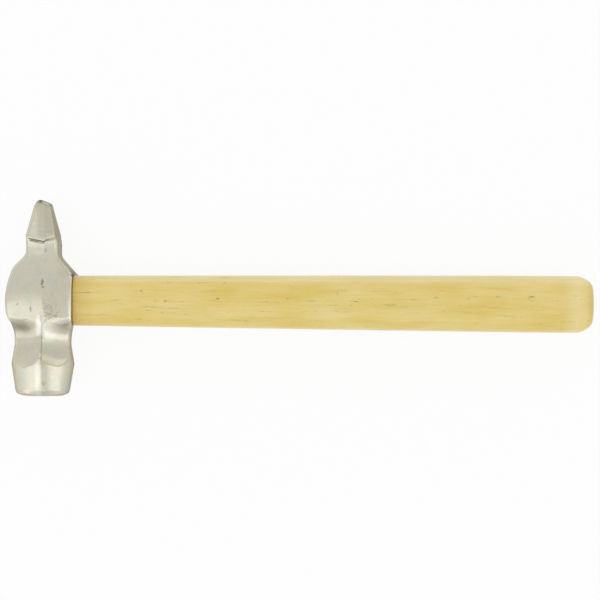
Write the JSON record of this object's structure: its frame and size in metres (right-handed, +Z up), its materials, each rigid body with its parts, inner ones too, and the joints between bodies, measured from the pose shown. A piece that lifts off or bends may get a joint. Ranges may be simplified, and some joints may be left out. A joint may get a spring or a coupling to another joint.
{
  "type": "machinist hammer",
  "caption": "Forged steel fitter's hammer head with a round striking face and a wedge-shaped cross peen, hung on a straight wooden handle and locked in its eye by wedges.",
  "frame": {"origin": "under the middle of the whole hammer's box, at the height of the lowest point of the poll as the hammer lies on its side", "axes": "+X along the handle from the head to the butt, +Y along the head from the striking face to the peen, +Z up through the thickness of the head"},
  "size_m": [0.32, 0.1072, 0.0344],
  "materials": {
    "plated_steel": "satin, plated over a forged skin",
    "handle_wood": "clear satin lacquer on pale hardwood",
    "wedge_wood": "raw end grain",
    "wedge_steel": "dull, cold cut"
  },
  "bodies": {
    "root": {"head": "plated_steel", "handle": "handle_wood", "wooden_wedge": "wedge_wood", "steel_wedge_upper": "wedge_steel", "steel_wedge_lower": "wedge_steel"}
  },
  "joints": []
}
